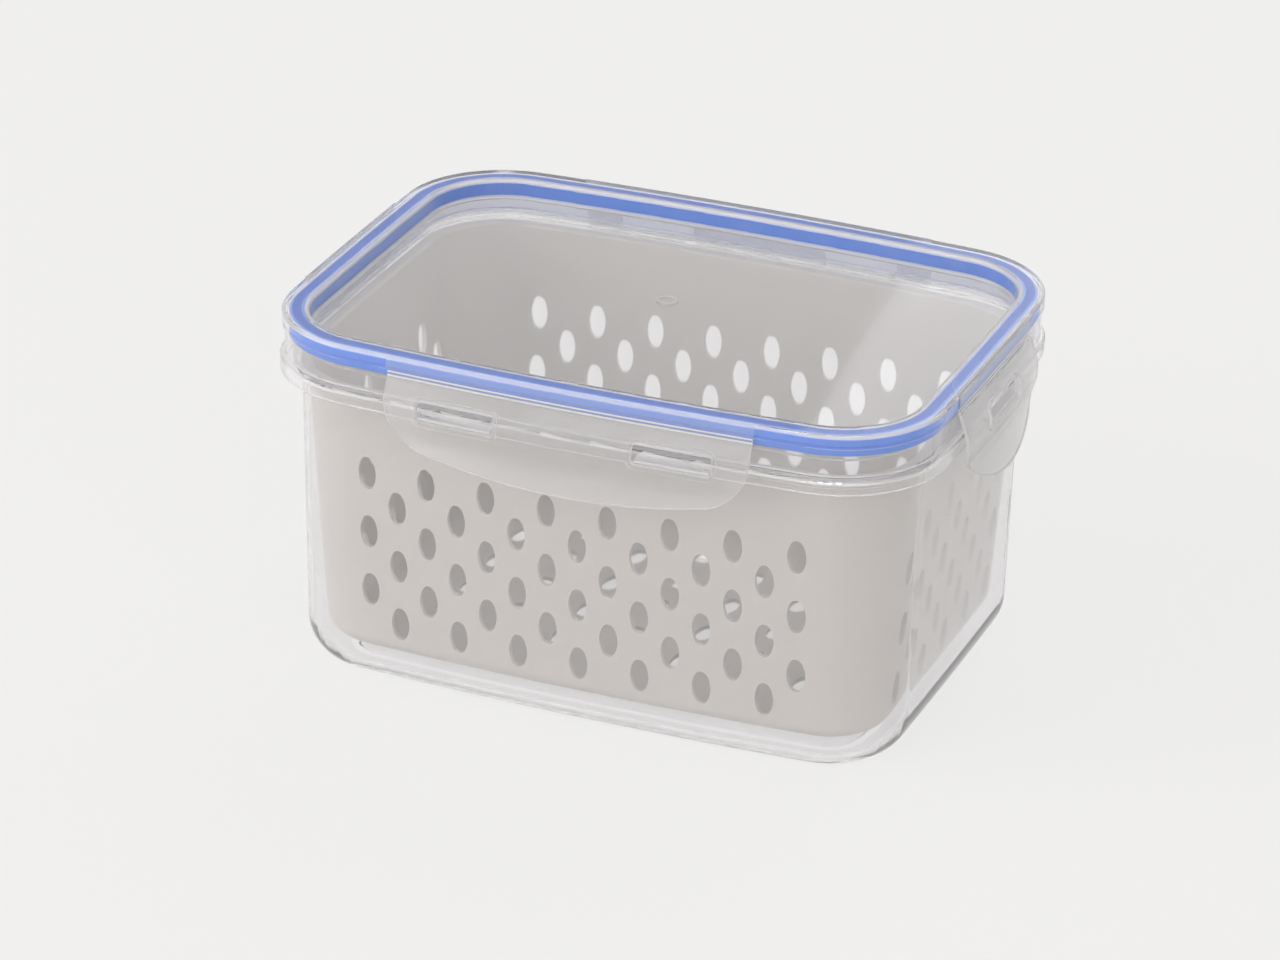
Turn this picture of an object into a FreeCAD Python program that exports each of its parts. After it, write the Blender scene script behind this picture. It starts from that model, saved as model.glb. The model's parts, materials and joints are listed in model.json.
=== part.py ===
import FreeCAD, Part
import os
from math import asin, atan2, cos, degrees, hypot, pi, sin, sqrt
from FreeCAD import Vector

# Produce storage container: a clear box, a hanging drain basket and a clear lid
# with a silicone seal and four snap latches on living hinges.
# X runs along the long side, the front long side faces -Y, Z is up.
# The origin is the middle of the base.

# Plan outline of the lid skirt: a rounded rectangle with bowed sides
length = 260.0
width = 190.4
cornerRadius = 41.0
longSideBow = 5.5
shortSideBow = 1.1

# Box
boxHeight = 133.6
boxWall = 1.8
boxFloor = 2.0
boxInset = 7.0
boxDraft = 0.018
boxFillet = 16.0
footWidth = 3.0
footRecess = 0.8
neckInset = 4.1
neckWall = 1.6
collarDrop = 8.6
collarHeight = 5.5
collarReach = 1.2
collarWall = 1.6
ledgeDrop = 12.0

# Catches on the collar that the latches snap over
catchRise = 2.3
catchReach = 3.5
catchNose = 1.1

# Basket
basketRimWall = 1.8
basketInset = 9.3
basketDraft = 0.067
basketWall = 1.8
basketFloor = 1.8
basketFillet = 8.0
rimClearance = 0.4
drainGap = 8.0

# Perforation of the basket
holeWidth = 7.3
holeHeight = 13.6
holeEndRadius = 2.6
columnPitch = 12.2
rowPitch = 24.8
lowestHole = 25.6
holeRows = 3
longSideColumns = 7
shortSideColumns = 4
floorColumns = 3
floorRows = 2

# Lid
sealHeight = 7.4
landWall = 1.8
skirtInset = 0.6
skirtWall = 1.4
skirtClearance = 1.0
lipReach = 0.4
lipHeight = 5.5
ridgeWidth = 10.0
ridgeWall = 1.6
ridgeHeight = 7.8
panelWall = 1.6
plugDepth = 4.0
gateX = -4.5
gateY = 12.3
gateRadius = 4.2
gateRing = 1.1
gateHeight = 0.5

# Seal
sealClearance = 0.3
sealGroove = 0.6

# Latches
shoulderReach = 0.9
shoulderHeight = 5.5
shoulderOverhang = 0.5
longLatchWidth = 143.0
shortLatchWidth = 78.0
hingeGap = 0.3
filmHeight = 1.9
filmWall = 0.5
filmRecess = 0.3
latchWall = 1.4
flapStep = 0.8
crestReach = 5.0
waistReach = 3.7
waistDrop = 6.0
lipFlare = 8.4
longFlapOverhang = 16.0
shortFlapOverhang = 19.0
flapCorner = 20.0
shoulderRound = 12.0
crestRound = 9.0
waistRound = 8.0
longFlapCurve = 311.0
shortFlapCurve = 56.0
slotWidth = 31.0
slotHeight = 8.0
slotCorner = 1.6
slotRim = 1.6
slotRimRise = 0.6
slotOffset = 42.5
catchClearance = 0.7
catchEndClearance = 1.2

# Edge roundings, from the finest to the lid's inner rim
edge = 0.4
mediumEdge = 0.8
softEdge = 1.2
ridgeEdge = 2.0

# Heights that follow from the sizes above
floorTop = footRecess + boxFloor
ledge = boxHeight - ledgeDrop
collarTop = boxHeight - collarDrop
collarBottom = collarTop - collarHeight
landUnder = boxHeight + sealHeight
lidTop = landUnder + landWall
panelTop = lidTop - ridgeHeight
panelUnder = panelTop - panelWall
skirtBottom = collarTop + skirtClearance
basketUnder = floorTop + drainGap
basketFloorTop = basketUnder + basketFloor
rimTop = ledge + basketRimWall
catchBottom = collarBottom + catchRise
slotBottom = catchBottom - catchClearance
slotTop = slotBottom + slotHeight
shoulderBottom = lidTop - shoulderHeight
filmTop = shoulderBottom - hingeGap
filmBottom = filmTop - filmHeight
longFlapBottom = collarBottom - longFlapOverhang
shortFlapBottom = collarBottom - shortFlapOverhang

# Inset of the outline inside which floors and panel are plain flat plates
flatMargin = 7.0
core = boxInset + boxFillet + footWidth + flatMargin

# Trimming shapes reach this far past what they trim
overrun = 3 * lipFlare

tiny = 1e-6
UP = Vector(0, 0, 1)


# Plan geometry shared by every ring: four side arcs and four corner arcs.
# Moving the outline inwards keeps all the arc centres.
halfLength = length / 2
halfWidth = width / 2


def sideRadius(reach, bow):
    return (reach * reach + bow * bow) / (2 * bow)


longRadius = sideRadius(halfLength, longSideBow)
shortRadius = sideRadius(halfWidth, shortSideBow)


def cornerCentre():
    # The corner circle touches both side circles from inside
    ax, ay, ar = 0.0, halfWidth - longRadius, longRadius - cornerRadius
    bx, by, br = halfLength - shortRadius, 0.0, shortRadius - cornerRadius
    gap = hypot(bx - ax, by - ay)
    along = (ar * ar - br * br + gap * gap) / (2 * gap)
    across = sqrt(ar * ar - along * along)
    ux, uy = (bx - ax) / gap, (by - ay) / gap
    first = (ax + along * ux - across * uy, ay + along * uy + across * ux)
    second = (ax + along * ux + across * uy, ay + along * uy - across * ux)
    return first if first[1] > 0 and first[0] > 0 else second


cornerX, cornerY = cornerCentre()
longAngle = atan2(cornerY - (halfWidth - longRadius), cornerX)
shortAngle = atan2(cornerY, cornerX - (halfLength - shortRadius))


def planArcs():
    # Each arc: centre x, centre y, radius, start angle, end angle
    sx, ly = halfLength - shortRadius, halfWidth - longRadius
    s, l = shortAngle, longAngle
    return [
        (sx, 0.0, shortRadius, -s, s),
        (cornerX, cornerY, cornerRadius, s, l),
        (0.0, ly, longRadius, l, pi - l),
        (-cornerX, cornerY, cornerRadius, pi - l, pi - s),
        (-sx, 0.0, shortRadius, pi - s, pi + s),
        (-cornerX, -cornerY, cornerRadius, pi + s, pi + l),
        (0.0, -ly, longRadius, pi + l, 2 * pi - l),
        (cornerX, -cornerY, cornerRadius, 2 * pi - l, 2 * pi - s),
    ]


def planPoint(cx, cy, radius, angle, z):
    return Vector(cx + radius * cos(angle), cy + radius * sin(angle), z)


def planFace(inset, z):
    edges = []
    for cx, cy, radius, start, end in planArcs():
        middle = (start + end) / 2
        points = [planPoint(cx, cy, radius - inset, a, z) for a in (start, middle, end)]
        edges.append(Part.Arc(*points).toShape())
    return Part.Face(Part.Wire(edges))


# A section is a list of corners (inset, height, rounding)
def roundedEdges(corners, place):
    spans = []
    count = len(corners)
    for i, (x, z, radius) in enumerate(corners):
        px, pz = corners[i - 1][:2]
        nx, nz = corners[(i + 1) % count][:2]
        inX, inZ = px - x, pz - z
        outX, outZ = nx - x, nz - z
        inLong, outLong = hypot(inX, inZ), hypot(outX, outZ)
        inX, inZ, outX, outZ = inX / inLong, inZ / inLong, outX / outLong, outZ / outLong
        half = atan2(abs(inX * outZ - inZ * outX), inX * outX + inZ * outZ) / 2
        if radius == 0:
            spans.append(((x, z), None, (x, z)))
            continue
        reach = radius * cos(half) / sin(half)
        first = (x + inX * reach, z + inZ * reach)
        last = (x + outX * reach, z + outZ * reach)
        midX, midZ = inX + outX, inZ + outZ
        midLong = hypot(midX, midZ)
        away = radius / sin(half) - radius
        spans.append((first, (x + midX / midLong * away, z + midZ / midLong * away), last))
    edges = []
    for i, (first, middle, last) in enumerate(spans):
        if middle:
            edges.append(Part.Arc(place(*first), place(*middle), place(*last)).toShape())
        following = spans[(i + 1) % count][0]
        if hypot(following[0] - last[0], following[1] - last[1]) > tiny:
            edges.append(Part.LineSegment(place(*last), place(*following)).toShape())
    return edges


def section(corners, cx, cy, radius, start):
    def place(inset, z):
        return planPoint(cx, cy, radius - inset, start, z)
    return roundedEdges(corners, place)


def closedSolid(faces):
    shell = Part.Shell(faces)
    shell.sewShape()
    solid = Part.Solid(shell)
    if solid.Volume < 0:
        solid.reverse()
    return solid


def ring(corners):
    # A closed section taken all the way round
    faces = []
    for cx, cy, radius, start, end in planArcs():
        wire = Part.Wire(section(corners, cx, cy, radius, start))
        faces += wire.revolve(Vector(cx, cy, 0), UP, degrees(end - start)).Faces
    return closedSolid(faces)


def tray(corners):
    # The edge from the last corner back to the first is left out,
    # and two flat faces close the middle there
    faces = [planFace(*corners[0][:2]), planFace(*corners[-1][:2])]
    for cx, cy, radius, start, end in planArcs():
        wire = Part.Wire(section(corners, cx, cy, radius, start)[:-1])
        faces += wire.revolve(Vector(cx, cy, 0), UP, degrees(end - start)).Faces
    return closedSolid(faces)


# Sides of the container, each worked out facing -Y and then turned into place
def side(reach, bow, turn, latchWidth, slots, bottom, curve):
    return {
        "reach": reach,
        "radius": sideRadius(halfWidth + halfLength - reach, bow),
        "turn": turn,
        "half": latchWidth / 2,
        "slots": slots,
        "bottom": bottom,
        "curve": curve,
    }


longFlap = (longLatchWidth, [-slotOffset, slotOffset], longFlapBottom, longFlapCurve)
shortFlap = (shortLatchWidth, [0.0], shortFlapBottom, shortFlapCurve)
sides = {
    "front": side(halfWidth, longSideBow, 0, *longFlap),
    "right": side(halfLength, shortSideBow, 90, *shortFlap),
    "back": side(halfWidth, longSideBow, 180, *longFlap),
    "left": side(halfLength, shortSideBow, 270, *shortFlap),
}


def band(spec, corners, low, high):
    # A section swept along one side between two distances from its middle
    centre = spec["radius"] - spec["reach"]
    start = asin(low / spec["radius"]) - pi / 2
    end = asin(high / spec["radius"]) - pi / 2
    face = Part.Face(Part.Wire(section(corners, 0.0, centre, spec["radius"], start)))
    return face.revolve(Vector(0, centre, 0), UP, degrees(end - start))


def turned(shape, spec):
    shape.rotate(Vector(0, 0, 0), UP, spec["turn"])
    return shape


def facing(corners, near, far):
    # A prism whose outline is drawn in X and Z, running along Y
    face = Part.Face(Part.Wire(roundedEdges(corners, lambda x, z: Vector(x, near, z))))
    return face.extrude(Vector(0, far - near, 0))


def wallInset(z):
    return boxInset + boxDraft * (ledge - z)


def makeBox():
    neckInner = neckInset + neckWall
    ledgeUnder = ledge - boxWall
    collarUnder = collarTop - collarWall
    foot = wallInset(0) + boxFillet + footWidth
    corners = [
        (core, floorTop, 0),
        (wallInset(floorTop) + boxWall, floorTop, boxFillet - boxWall),
        (wallInset(ledge) + boxWall, ledge, edge),
        (neckInner, ledge, edge),
        (neckInner, boxHeight, edge),
        (neckInset, boxHeight, edge),
        (neckInset, collarTop, edge),
        (-collarReach, collarTop, softEdge),
        (-collarReach, collarBottom, edge),
        (collarWall - collarReach, collarBottom, edge),
        (collarWall - collarReach, collarUnder, edge),
        (neckInset, collarUnder, edge),
        (neckInset, ledgeUnder, mediumEdge),
        (wallInset(ledgeUnder), ledgeUnder, mediumEdge),
        (wallInset(0), 0, boxFillet),
        (foot, 0, edge),
        (foot + footRecess, footRecess, edge),
        (core, footRecess, 0),
    ]
    nose = catchBottom + catchNose
    root = edge - collarReach
    tip = -collarReach - catchReach
    catch = [
        (root, catchBottom, 0),
        (tip, catchBottom, edge),
        (tip, nose, edge),
        (-collarReach, collarTop - softEdge, 0),
        (root, collarTop - softEdge, 0),
    ]
    half = slotWidth / 2 - catchEndClearance
    catches = []
    for spec in sides.values():
        for middle in spec["slots"]:
            catches.append(turned(band(spec, catch, middle - half, middle + half), spec))
    return tray(corners).multiFuse(catches).removeSplitter()


def basketOuter(z):
    return basketInset + basketDraft * (ledge - z)


def oval(x, z, near, far):
    # A prism along Y with four tangent arcs: small round ends and long shallow sides
    w, h = holeWidth / 2, holeHeight / 2
    end = holeEndRadius
    rise = h - end
    shallow = (w * w + rise * rise - end * end) / (2 * (w - end))
    joinX = w - shallow + shallow * (shallow - w) / (shallow - end)
    joinZ = shallow * rise / (shallow - end)

    def at(px, pz):
        return Vector(x + px, near, z + pz)
    edges = [
        Part.Arc(at(-joinX, joinZ), at(-w, 0), at(-joinX, -joinZ)).toShape(),
        Part.Arc(at(-joinX, -joinZ), at(0, -h), at(joinX, -joinZ)).toShape(),
        Part.Arc(at(joinX, -joinZ), at(w, 0), at(joinX, joinZ)).toShape(),
        Part.Arc(at(joinX, joinZ), at(0, h), at(-joinX, joinZ)).toShape(),
    ]
    return Part.Face(Part.Wire(edges)).extrude(Vector(0, far - near, 0))


def wallHoles(columns, reach):
    # Odd columns stand half a row higher, and one prism cuts both opposite walls
    holes = []
    for column in range(-columns, columns + 1):
        for row in range(holeRows):
            z = lowestHole + (row + column % 2 / 2) * rowPitch
            holes.append(oval(column * columnPitch, z, -reach, reach))
    return holes


def floorHoles():
    # Every second column of the walls goes on across the floor
    holes = []
    for column in range(-floorColumns, floorColumns + 1):
        odd = column % 2
        for row in range(-floorRows, floorRows + 1 - odd):
            hole = oval(2 * column * columnPitch, 0, -basketFloor, basketFloor)
            hole.rotate(Vector(0, 0, 0), Vector(1, 0, 0), 90)
            hole.translate(Vector(0, (row + odd / 2) * rowPitch, basketUnder + basketFloor / 2))
            holes.append(hole)
    return holes


def makeBasket():
    rimOuter = neckInset + neckWall + rimClearance
    corners = [
        (core, basketUnder, 0),
        (basketOuter(basketUnder), basketUnder, basketFillet),
        (basketOuter(ledge), ledge, mediumEdge),
        (rimOuter, ledge, edge),
        (rimOuter, rimTop, mediumEdge),
        (basketOuter(rimTop) + basketWall, rimTop, softEdge),
        (basketOuter(basketFloorTop) + basketWall, basketFloorTop, basketFillet - basketWall),
        (core, basketFloorTop, 0),
    ]
    across = wallHoles(longSideColumns, halfWidth)
    along = wallHoles(shortSideColumns, halfLength)
    for hole in along:
        hole.rotate(Vector(0, 0, 0), UP, 90)
    return tray(corners).removeSplitter().cut(across + along + floorHoles())


def makeSeal():
    outer = skirtInset + skirtWall + sealClearance
    inner = ridgeWidth - ridgeWall - sealClearance
    middle = (boxHeight + landUnder) / 2
    corners = [
        (outer, boxHeight, softEdge),
        (outer, middle - sealGroove, 0),
        (outer + sealGroove, middle, 0),
        (outer, middle + sealGroove, 0),
        (outer, landUnder, softEdge),
        (inner, landUnder, softEdge),
        (inner, boxHeight, softEdge),
    ]
    return ring(corners)


def makeLid():
    lipBottom = lidTop - lipHeight
    corners = [
        (core, panelTop, 0),
        (ridgeWidth, panelTop, softEdge),
        (ridgeWidth, lidTop, ridgeEdge),
        (-lipReach, lidTop, softEdge),
        (-lipReach, lipBottom, edge),
        (skirtInset, lipBottom, edge),
        (skirtInset, skirtBottom, edge),
        (skirtInset + skirtWall, skirtBottom, edge),
        (skirtInset + skirtWall, landUnder, edge),
        (ridgeWidth - ridgeWall, landUnder, edge),
        (ridgeWidth - ridgeWall, panelUnder - plugDepth, edge),
        (ridgeWidth, panelUnder - plugDepth, edge),
        (ridgeWidth, panelUnder, edge),
        (core, panelUnder, 0),
    ]
    root = skirtInset + edge
    shoulder = [
        (root, shoulderBottom, 0),
        (-shoulderReach, shoulderBottom, edge),
        (-shoulderReach, lidTop, softEdge),
        (root, lidTop, 0),
    ]
    additions = []
    for spec in sides.values():
        half = spec["half"] + shoulderOverhang
        additions.append(turned(band(spec, shoulder, -half, half), spec))
    gate = Part.makeCylinder(gateRadius, gateHeight + panelWall / 2)
    gate.translate(Vector(gateX, gateY, panelTop - panelWall / 2))
    hollow = Part.makeCylinder(gateRadius - gateRing, gateHeight)
    hollow.translate(Vector(gateX, gateY, panelTop))
    return tray(corners).multiFuse(additions + [gate]).cut(hollow).removeSplitter()


def flapOutline(spec, top):
    # Straight sides, large corners and a shallow curved lower edge
    half = spec["half"]
    curve = spec["curve"]
    big = spec["bottom"] + curve
    cornerAt = half - flapCorner
    low = big - sqrt((curve - flapCorner) ** 2 - cornerAt ** 2)
    lean = atan2(cornerAt, big - low)
    tip = (curve * sin(lean), big - curve * cos(lean))
    bend = (cornerAt + flapCorner * cos(lean / 2 - pi / 4), low + flapCorner * sin(lean / 2 - pi / 4))

    def at(x, z):
        return Vector(x, -spec["reach"] - overrun, z)
    edges = [
        Part.LineSegment(at(-half, top), at(-half, low)).toShape(),
        Part.Arc(at(-half, low), at(-bend[0], bend[1]), at(-tip[0], tip[1])).toShape(),
        Part.Arc(at(-tip[0], tip[1]), at(0, spec["bottom"]), at(*tip)).toShape(),
        Part.Arc(at(*tip), at(*bend), at(half, low)).toShape(),
        Part.LineSegment(at(half, low), at(half, top)).toShape(),
        Part.LineSegment(at(half, top), at(-half, top)).toShape(),
    ]
    return Part.Face(Part.Wire(edges)).extrude(Vector(0, 2 * overrun, 0))


def slotPrism(spec, middle, grow):
    w = slotWidth / 2 + grow
    r = slotCorner + grow
    low, high = slotBottom - grow, slotTop + grow
    corners = [(middle - w, low, r), (middle + w, low, r), (middle + w, high, r), (middle - w, high, r)]
    return facing(corners, -spec["reach"] - overrun, -spec["reach"] + overrun)


def flapSection(outwards, inwards):
    # The face bulges over the catches, narrows to a waist and flares at the finger lip
    crestTop = collarTop + edge
    crestBottom = collarBottom - edge
    waist = crestBottom - waistDrop
    end = min(longFlapBottom, shortFlapBottom) - mediumEdge
    film = -shoulderReach + filmRecess
    face = [
        (-shoulderReach - flapStep, filmBottom - edge, edge),
        (-crestReach, crestTop, shoulderRound),
        (-crestReach, crestBottom, crestRound),
        (-waistReach, waist, waistRound),
        (-lipFlare, end, 0),
    ]
    outer = [(inset - outwards, z, r) for inset, z, r in face]
    inner = [(inset + latchWall - inwards, z, r) for inset, z, r in reversed(face)]
    hinge = [
        (film + filmWall, filmBottom, 0),
        (film + filmWall, filmTop, 0),
        (film, filmTop, 0),
        (film, filmBottom, 0),
    ]
    return outer, inner, hinge


def makeLatch(spec):
    # The flap is cut from a wider band, then the slots get their raised rims
    half = spec["half"] + overrun
    outer, inner, hinge = flapSection(0, 0)
    flap = band(spec, outer + inner + hinge, -half, half)
    flap = flap.common(flapOutline(spec, filmTop + overrun))
    outer, inner, _ = flapSection(slotRimRise, latchWall / 2)
    rimStock = band(spec, outer + inner, -half, half)
    rims = [rimStock.common(slotPrism(spec, middle, slotRim)) for middle in spec["slots"]]
    slots = [slotPrism(spec, middle, 0) for middle in spec["slots"]]
    return turned(flap.multiFuse(rims).cut(slots).removeSplitter(), spec)


def oneSolid(name, shape):
    if len(shape.Solids) != 1:
        raise ValueError(name + " is " + str(len(shape.Solids)) + " solids")
    solid = shape.Solids[0]
    if not solid.isValid():
        raise ValueError(name + " is not valid")
    return solid


nodes = {
    "box": makeBox(),
    "basket": makeBasket(),
    "seal": makeSeal(),
    "lid": makeLid(),
}
for name, spec in sides.items():
    nodes["latch_" + name] = makeLatch(spec)

os.makedirs("parts", exist_ok=True)
for name, shape in nodes.items():
    solid = oneSolid(name, shape)
    solid.exportStep("parts/" + name + ".step")
    bounds = solid.BoundBox
    print(name, "volume", round(solid.Volume), "faces", len(solid.Faces),
          "z", round(bounds.ZMin, 2), round(bounds.ZMax, 2))
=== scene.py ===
import bmesh
import bpy
import json
from math import radians
from mathutils import Matrix, Vector

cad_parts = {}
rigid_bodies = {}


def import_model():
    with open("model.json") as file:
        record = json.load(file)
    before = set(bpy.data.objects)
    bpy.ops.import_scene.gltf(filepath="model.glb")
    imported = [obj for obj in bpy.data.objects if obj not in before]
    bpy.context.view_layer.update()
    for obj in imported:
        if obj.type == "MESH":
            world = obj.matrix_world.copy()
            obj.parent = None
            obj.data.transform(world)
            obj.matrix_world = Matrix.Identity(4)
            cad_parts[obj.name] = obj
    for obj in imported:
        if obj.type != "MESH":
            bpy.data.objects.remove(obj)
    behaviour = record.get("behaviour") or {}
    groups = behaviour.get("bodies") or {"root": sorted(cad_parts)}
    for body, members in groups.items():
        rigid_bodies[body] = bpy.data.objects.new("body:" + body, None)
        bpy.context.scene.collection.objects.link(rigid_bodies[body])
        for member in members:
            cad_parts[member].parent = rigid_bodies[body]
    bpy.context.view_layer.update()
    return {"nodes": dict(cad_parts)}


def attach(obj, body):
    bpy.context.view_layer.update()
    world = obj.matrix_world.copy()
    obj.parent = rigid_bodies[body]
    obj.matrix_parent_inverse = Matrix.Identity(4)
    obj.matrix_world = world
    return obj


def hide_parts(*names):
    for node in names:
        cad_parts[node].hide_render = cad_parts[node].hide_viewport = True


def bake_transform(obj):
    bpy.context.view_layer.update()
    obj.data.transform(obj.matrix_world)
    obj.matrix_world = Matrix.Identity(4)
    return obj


# Clear produce storage container: box, hanging drain basket, lid, seal and four latches.
# Metres, X along the long side, the front long side faces -Y, Z is up.

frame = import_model()
nodes = frame["nodes"]
print("frame loaded:", len(nodes), "nodes")


# Camera at the photograph's viewing angle

camera = {
    "azimuth": 21.829,
    "elevation": 25.361,
    "roll": 1.243,
    "distance": 2.10955,
    "lens": 155.795,
    "sensor": 36,
    "clipEnd": 50,
    "aim": (0.0, 0.0, 0.060),
    "right": -0.008173,
    "up": 0.005816,
}


def placeCamera():
    turn = Matrix.Rotation(radians(camera["azimuth"]), 4, "Z")
    tilt = Matrix.Rotation(radians(90 - camera["elevation"]), 4, "X")
    roll = Matrix.Rotation(radians(camera["roll"]), 4, "Z")
    rotation = turn @ tilt @ roll
    offset = rotation @ Vector((camera["right"], camera["up"], camera["distance"]))
    bpy.ops.object.camera_add()
    lens = bpy.context.object
    lens.name = "camera"
    lens.matrix_world = Matrix.Translation(Vector(camera["aim"]) + offset) @ rotation
    lens.data.lens = camera["lens"]
    lens.data.sensor_width = camera["sensor"]
    lens.data.clip_end = camera["clipEnd"]
    bpy.context.scene.camera = lens


placeCamera()
print("camera placed")


# Shader nodes

def setInputs(node, values):
    for label, value in values.items():
        node.inputs[label].default_value = value


def calculated(tree, operation, *terms):
    # Each term is a number or the output of another node
    node = tree.nodes.new("ShaderNodeMath")
    node.operation = operation
    for socket, term in zip(node.inputs, terms):
        if isinstance(term, bpy.types.NodeSocket):
            tree.links.new(term, socket)
        else:
            socket.default_value = term
    return node.outputs[0]


def mixed(tree, share, first, second):
    node = tree.nodes.new("ShaderNodeMixShader")
    for socket, source in zip(node.inputs, (share, first, second)):
        tree.links.new(source, socket)
    return node.outputs[0]


def newMaterial(name):
    material = bpy.data.materials.new(name)
    material.use_nodes = True
    tree = material.node_tree
    return material, tree, tree.nodes["Principled BSDF"], tree.nodes["Material Output"].inputs["Surface"]


# Moulded surface, shared by all the plastics: slow waviness and a fine grain

noiseDetail = {"wave": 2, "grain": 1}


def mouldedSurface():
    tree = bpy.data.node_groups.new("mouldedSurface", "ShaderNodeTree")
    for label in ("Roughness", "Variation", "Wave Scale", "Grain Scale", "Grain"):
        tree.interface.new_socket(name=label, in_out="INPUT", socket_type="NodeSocketFloat")
    for label in ("Roughness", "Height"):
        tree.interface.new_socket(name=label, in_out="OUTPUT", socket_type="NodeSocketFloat")
    start = tree.nodes.new("NodeGroupInput")
    end = tree.nodes.new("NodeGroupOutput")
    place = tree.nodes.new("ShaderNodeTexCoord")

    def noise(scale, detail):
        texture = tree.nodes.new("ShaderNodeTexNoise")
        texture.inputs["Detail"].default_value = detail
        tree.links.new(place.outputs["Object"], texture.inputs["Vector"])
        tree.links.new(start.outputs[scale], texture.inputs["Scale"])
        return texture.outputs["Fac"]

    wave = noise("Wave Scale", noiseDetail["wave"])
    grain = noise("Grain Scale", noiseDetail["grain"])
    centred = calculated(tree, "SUBTRACT", wave, 0.5)
    roughness = calculated(tree, "MULTIPLY_ADD", centred, start.outputs["Variation"], start.outputs["Roughness"])
    height = calculated(tree, "MULTIPLY_ADD", grain, start.outputs["Grain"], wave)
    tree.links.new(roughness, end.inputs["Roughness"])
    tree.links.new(height, end.inputs["Height"])
    return tree


surfaceGroup = mouldedSurface()


def addSurface(tree, shader, look):
    group = tree.nodes.new("ShaderNodeGroup")
    group.node_tree = surfaceGroup
    setInputs(group, {
        "Roughness": look["roughness"],
        "Variation": look["variation"],
        "Wave Scale": look["waveScale"],
        "Grain Scale": look["grainScale"],
        "Grain": look["grain"],
    })
    bump = tree.nodes.new("ShaderNodeBump")
    setInputs(bump, {"Strength": look["bumpStrength"], "Distance": look["bumpDistance"]})
    tree.links.new(group.outputs["Roughness"], shader.inputs["Roughness"])
    tree.links.new(group.outputs["Height"], bump.inputs["Height"])
    tree.links.new(bump.outputs["Normal"], shader.inputs["Normal"])


# Clear polypropylene of the box, the lid and the flaps, with whiter, less clear copies of it on narrow edges as
# painted highlights

boxLook = {
    "tint": (0.965, 0.96, 0.965, 1),
    "clear": 0.93,
    "ior": 1.36,
    "roughness": 0.05,
    "variation": 0.03,
    "waveScale": 14,
    "grainScale": 900,
    "grain": 0.03,
    "bumpStrength": 0.02,
    "bumpDistance": 0.0001,
    "lampsThrough": (0.92, 0.92, 0.93, 1),
}
lidLook = dict(boxLook, clear=0.91, roughness=0.03, lampsThrough=(0.86, 0.86, 0.88, 1))
flapLook = dict(boxLook, tint=(0.93, 0.925, 0.925, 1), clear=0.85, roughness=0.22, variation=0.05,
                grain=0.2, bumpStrength=0.06)
# Painted highlight: whiter, half-clear plastic for the narrow roundings of box and lid
rimHighlightLook = dict(boxLook, tint=(0.98, 0.975, 0.98, 1), clear=0.50, roughness=0.25)
# Painted highlight: nearly opaque white plastic for the flaps' cut edges and the film's edges
cutEdgeHighlightLook = dict(rimHighlightLook, clear=0.15)
stripLook = dict(flapLook, tint=(0.95, 0.948, 0.95, 1), clear=0.76)
catchLook = dict(stripLook, clear=0.50)


def clearPlastic(name, look):
    material, tree, shader, surface = newMaterial(name)
    setInputs(shader, {"Base Color": look["tint"], "Transmission Weight": look["clear"], "IOR": look["ior"]})
    addSurface(tree, shader, look)
    # Lamps reach through the thin walls
    path = tree.nodes.new("ShaderNodeLightPath")
    through = tree.nodes.new("ShaderNodeBsdfTransparent")
    setInputs(through, {"Color": look["lampsThrough"]})
    both = mixed(tree, path.outputs["Is Shadow Ray"], shader.outputs[0], through.outputs[0])
    tree.links.new(both, surface)
    return material


# Milky polypropylene of the basket and silicone of the seal

basketLook = {
    "shader": {
        "Base Color": (0.60, 0.575, 0.55, 1),
        "Subsurface Weight": 0.15,
        "Subsurface Radius": (1.0, 0.95, 0.9),
        "Subsurface Scale": 0.002,
        "IOR": 1.45,
    },
    "roughness": 0.38,
    "variation": 0.08,
    "waveScale": 18,
    "grainScale": 1400,
    "grain": 0.3,
    "bumpStrength": 0.10,
    "bumpDistance": 0.0002,
}
sealLook = {
    "shader": {
        "Base Color": (0.025, 0.21, 0.80, 1),
        "Subsurface Weight": 0.2,
        "Subsurface Radius": (0.6, 0.8, 1.0),
        "Subsurface Scale": 0.002,
        "Specular IOR Level": 0.3,
    },
    "roughness": 0.45,
    "variation": 0.10,
    "waveScale": 40,
    "grainScale": 1800,
    "grain": 0.4,
    "bumpStrength": 0.10,
    "bumpDistance": 0.0002,
}


def softPlastic(name, look):
    material, tree, shader, surface = newMaterial(name)
    setInputs(shader, look["shader"])
    addSurface(tree, shader, look)
    return material


materials = {
    "box": clearPlastic("boxPlastic", boxLook),
    "lid": clearPlastic("lidPlastic", lidLook),
    "flap": clearPlastic("flapPlastic", flapLook),
    "rim": clearPlastic("paintedRimHighlight", rimHighlightLook),
    "cut": clearPlastic("paintedCutEdgeHighlight", cutEdgeHighlightLook),
    "strip": clearPlastic("stripPlastic", stripLook),
    "catch": clearPlastic("catchPlastic", catchLook),
    "basket": softPlastic("milkyPlastic", basketLook),
    "seal": softPlastic("blueSilicone", sealLook),
}
print("materials made:", len(materials))


# Pieces: each moulding is a welded, smoothly shaded copy of its solid

mouldings = {
    "weld": 0.00002,
    "smoothAngle": 32,
    "rimFace": 0.00045,
    "rimBend": 8,
    "cutFacing": 0.3,
    "paintedHighlightIndex": 1,
    "frostedIndex": 2,
}

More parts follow.
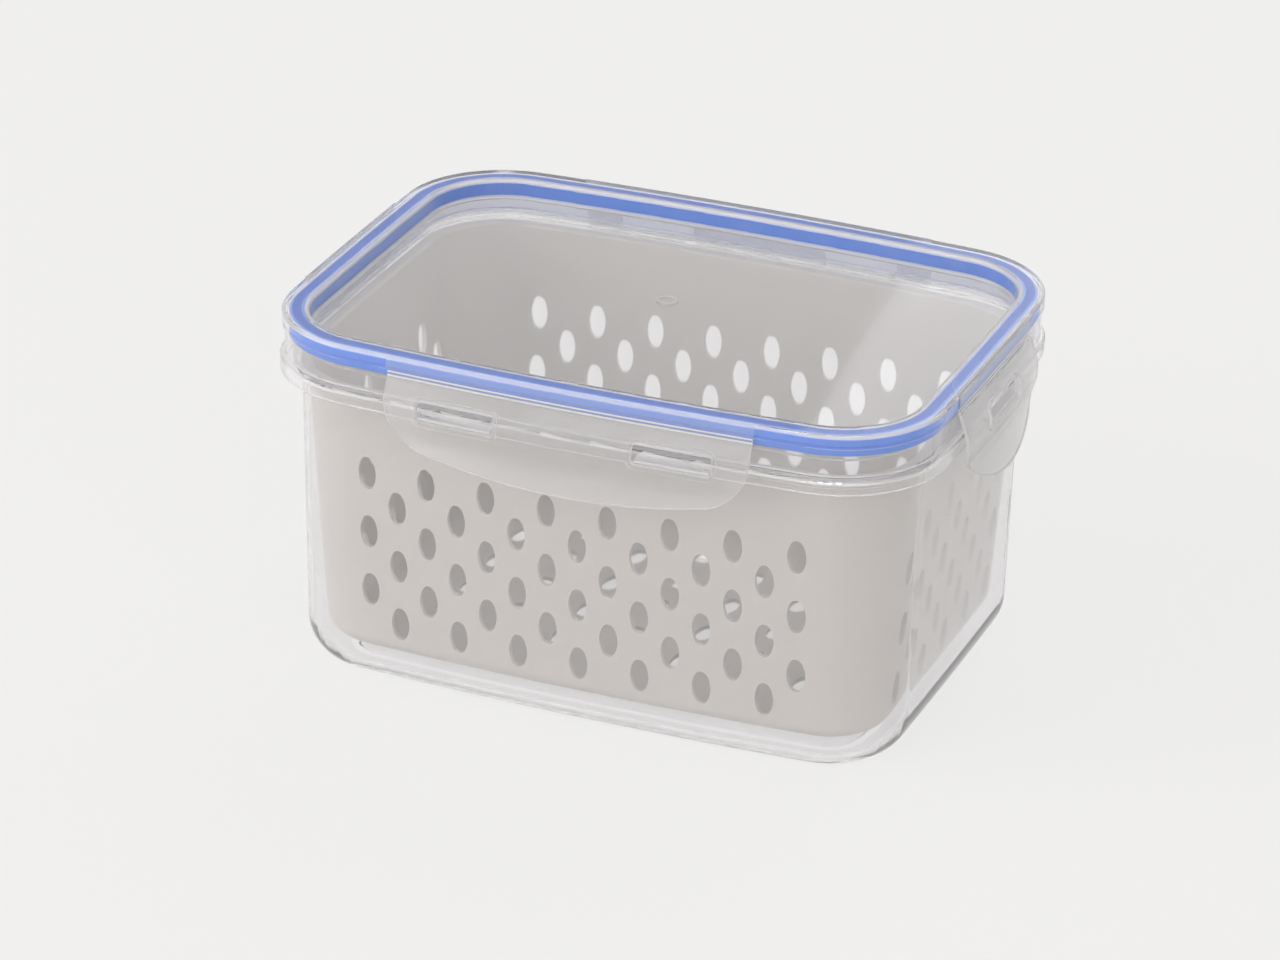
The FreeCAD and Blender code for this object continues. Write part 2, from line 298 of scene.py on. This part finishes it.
# Frosted parts: the lid's strips over the flaps, and the box's catches
frosted = {
    "lid": {
        "material": "strip",
        "bottom": 0.1372,
        "longReach": 0.0938,
        "longHalf": 0.0722,
        "shortReach": 0.1295,
        "shortHalf": 0.0397,
    },
    "box": {
        "material": "catch",
        "bottom": 0.1100,
        "longReach": 0.0966,
        "longHalf": 0.0600,
        "shortReach": 0.1316,
        "shortHalf": 0.0160,
    },
}


def only(piece):
    bpy.ops.object.select_all(action="DESELECT")
    piece.select_set(True)
    bpy.context.view_layer.objects.active = piece


def rimFaces(piece):
    # Narrow faces of the small roundings, given whiter plastic as a painted highlight where light gathered in a
    # clear wall comes out
    shape = bmesh.new()
    shape.from_mesh(piece.data)
    found = []
    for face in shape.faces:
        longest = max(line.calc_length() for line in face.edges)
        bend = max(line.calc_face_angle(0) for line in face.edges)
        if 2 * face.calc_area() / longest < mouldings["rimFace"] and bend > radians(mouldings["rimBend"]):
            found.append(face.index)
    shape.free()
    return found


def cutFaces(piece, across):
    # Faces of a flap's cut edges, its windows and their raised rims, given nearly opaque white plastic as a
    # painted highlight
    return [face.index for face in piece.data.polygons if abs(face.normal[across]) < mouldings["cutFacing"]]


def frostedFaces(piece, spec):
    found = []
    for face in piece.data.polygons:
        x, y = abs(face.center.x), abs(face.center.y)
        along = y > spec["longReach"] and x < spec["longHalf"]
        beside = x > spec["shortReach"] and y < spec["shortHalf"]
        if face.center.z > spec["bottom"] and (along or beside):
            found.append(face.index)
    return found


def give(piece, index, faces):
    for i in faces:
        piece.data.polygons[i].material_index = index


def weldedCopy(node, name):
    only(nodes[node])
    bpy.ops.object.duplicate()
    piece = bpy.context.object
    bpy.ops.object.parent_clear(type="CLEAR_KEEP_TRANSFORM")
    for key in list(piece.keys()):
        del piece[key]
    piece.name = name
    piece.data.name = name
    bpy.ops.mesh.customdata_custom_splitnormals_clear()
    bpy.ops.object.mode_set(mode="EDIT")
    bpy.ops.mesh.select_all(action="SELECT")
    bpy.ops.mesh.remove_doubles(threshold=mouldings["weld"])
    bpy.ops.object.mode_set(mode="OBJECT")
    bpy.ops.object.shade_smooth_by_angle(angle=radians(mouldings["smoothAngle"]))
    bpy.ops.object.modifier_add(type="WEIGHTED_NORMAL")
    shading = piece.modifiers[-1]
    shading.keep_sharp = True
    shading.mode = "FACE_AREA_WITH_ANGLE"
    bpy.ops.object.modifier_apply(modifier=shading.name)
    return piece


def moulding(node, name, material, slot, across=None):
    piece = weldedCopy(node, name)
    piece.data.materials.clear()
    piece.data.materials.append(material)
    if slot == "clear_plastic":
        # The second slot is the painted highlight: whiter rim plastic on box and lid, nearly opaque white
        # plastic on the flaps' cut edges
        piece.data.materials.append(materials["rim"] if across is None else materials["cut"])
        bright = rimFaces(piece) if across is None else cutFaces(piece, across)
        give(piece, mouldings["paintedHighlightIndex"], bright)
        print(name, "bright faces:", len(bright), "of", len(piece.data.polygons))
    if node in frosted:
        piece.data.materials.append(materials[frosted[node]["material"]])
        matt = frostedFaces(piece, frosted[node])
        give(piece, mouldings["frostedIndex"], matt)
        print(name, "frosted faces:", len(matt))
    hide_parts(node)
    return piece


for node, slot in (("box", "clear_plastic"), ("basket", "white_plastic"),
                   ("seal", "blue_silicone"), ("lid", "clear_plastic")):
    piece = moulding(node, node + "Moulding", materials[node], slot)
    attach(piece, "container")
    print(node, "made:", len(piece.data.polygons), "faces")


# Flaps: the thin film at the top is raised to reach the lid and cut into rows between lid and flap

hinge = {
    "lidEdge": 0.1373,
    "filmTop": 0.1370,
    "filmBottom": 0.1351,
    "tolerance": 0.0001,
    "rows": 9,
    "paleLine": 0.0005,
}


def filmEdgeHighlights(piece):
    # Painted highlight along the film's upper and lower edge, where the film catches light
    found = []
    for face in piece.data.polygons:
        height = face.center.z
        low = 0 < height - hinge["filmBottom"] < hinge["paleLine"]
        if low or height > hinge["lidEdge"] - hinge["paleLine"]:
            found.append(face.index)
    return found


def flap(node, across):
    piece = moulding(node, node + "Flap", materials["flap"], "clear_plastic", across)
    only(piece)
    bpy.ops.object.mode_set(mode="EDIT")
    bpy.ops.mesh.select_all(action="DESELECT")
    bpy.ops.object.mode_set(mode="OBJECT")
    for vertex in piece.data.vertices:
        vertex.select = vertex.co.z > hinge["filmTop"] - hinge["tolerance"]
    bpy.ops.object.mode_set(mode="EDIT")
    bpy.ops.transform.translate(value=(0, 0, hinge["lidEdge"] - hinge["filmTop"]))
    step = (hinge["lidEdge"] - hinge["filmBottom"]) / hinge["rows"]
    for row in range(hinge["rows"]):
        bpy.ops.mesh.select_all(action="SELECT")
        height = hinge["filmBottom"] + (row + 0.5) * step
        bpy.ops.mesh.bisect(plane_co=(0, 0, height), plane_no=(0, 0, 1))
    bpy.ops.object.mode_set(mode="OBJECT")
    # Painted highlight on the film's edges
    give(piece, mouldings["paintedHighlightIndex"], filmEdgeHighlights(piece))
    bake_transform(piece)
    return piece


for node, across in (("latch_front", 1), ("latch_right", 0), ("latch_back", 1), ("latch_left", 0)):
    piece = flap(node, across)
    print(node, "made:", len(piece.data.polygons), "faces")


# Stage: pale floor, white surroundings, soft lamps

stage = {
    "floorSize": 8.0,
    "floor": {"Base Color": (0.88, 0.86, 0.84, 1), "Roughness": 0.9, "Specular IOR Level": 0.1},
    "floorWhite": 0.70,
    "light": {"Color": (1.0, 0.985, 0.97, 1), "Strength": 0.42},
    "seen": {"Color": (1.0, 1.0, 1.0, 1), "Strength": 1.0},
    "aim": (0, 0, 0.07),
    "bounces": 24,
}
lamps = {
    "window": {"at": (-1.8, -1.5, 1.0), "size": 2.4, "power": 24, "colour": (1.0, 0.98, 0.96)},
    "fill": {"at": (1.8, -1.9, 0.8), "size": 2.6, "power": 17, "colour": (1.0, 0.97, 0.93)},
    "back": {"at": (0.3, 2.2, 1.6), "size": 2.4, "power": 10, "colour": (0.97, 0.98, 1.0)},
}


def seenRays(tree):
    # 1 for what the camera sees, straight, mirrored or through plastic
    path = tree.nodes.new("ShaderNodeLightPath")
    direct = calculated(tree, "MAXIMUM", path.outputs["Is Camera Ray"], path.outputs["Is Glossy Ray"])
    return calculated(tree, "MAXIMUM", direct, path.outputs["Is Transmission Ray"])


def makeFloor():
    bpy.ops.mesh.primitive_plane_add(size=stage["floorSize"])
    floor = bpy.context.object
    floor.name = "floor"
    material, tree, shader, surface = newMaterial("paleFloor")
    setInputs(shader, stage["floor"])
    # Part of the floor seen is plain white, and the rest keeps the shadow
    white = tree.nodes.new("ShaderNodeEmission")
    share = calculated(tree, "MULTIPLY", seenRays(tree), stage["floorWhite"])
    tree.links.new(mixed(tree, share, shader.outputs[0], white.outputs[0]), surface)
    floor.data.materials.append(material)


def makeSurroundings():
    # The world lights the object softly and is white where it is seen
    world = bpy.data.worlds.new("surroundings")
    bpy.context.scene.world = world
    world.use_nodes = True
    tree = world.node_tree
    light = tree.nodes["Background"]
    seen = tree.nodes.new("ShaderNodeBackground")
    setInputs(light, stage["light"])
    setInputs(seen, stage["seen"])
    both = mixed(tree, seenRays(tree), light.outputs[0], seen.outputs[0])
    tree.links.new(both, tree.nodes["World Output"].inputs["Surface"])


def makeLamps():
    for name, lamp in lamps.items():
        bpy.ops.object.light_add(type="AREA", location=lamp["at"])
        light = bpy.context.object
        light.name = name
        light.data.shape = "DISK"
        light.data.size = lamp["size"]
        light.data.energy = lamp["power"]
        light.data.color = lamp["colour"]
        aim = Vector(stage["aim"]) - Vector(lamp["at"])
        light.rotation_euler = aim.to_track_quat("-Z", "Y").to_euler()


makeFloor()
makeSurroundings()
makeLamps()
bpy.context.scene.view_settings.view_transform = "Standard"
bpy.context.scene.cycles.transparent_max_bounces = stage["bounces"]
print("stage made")
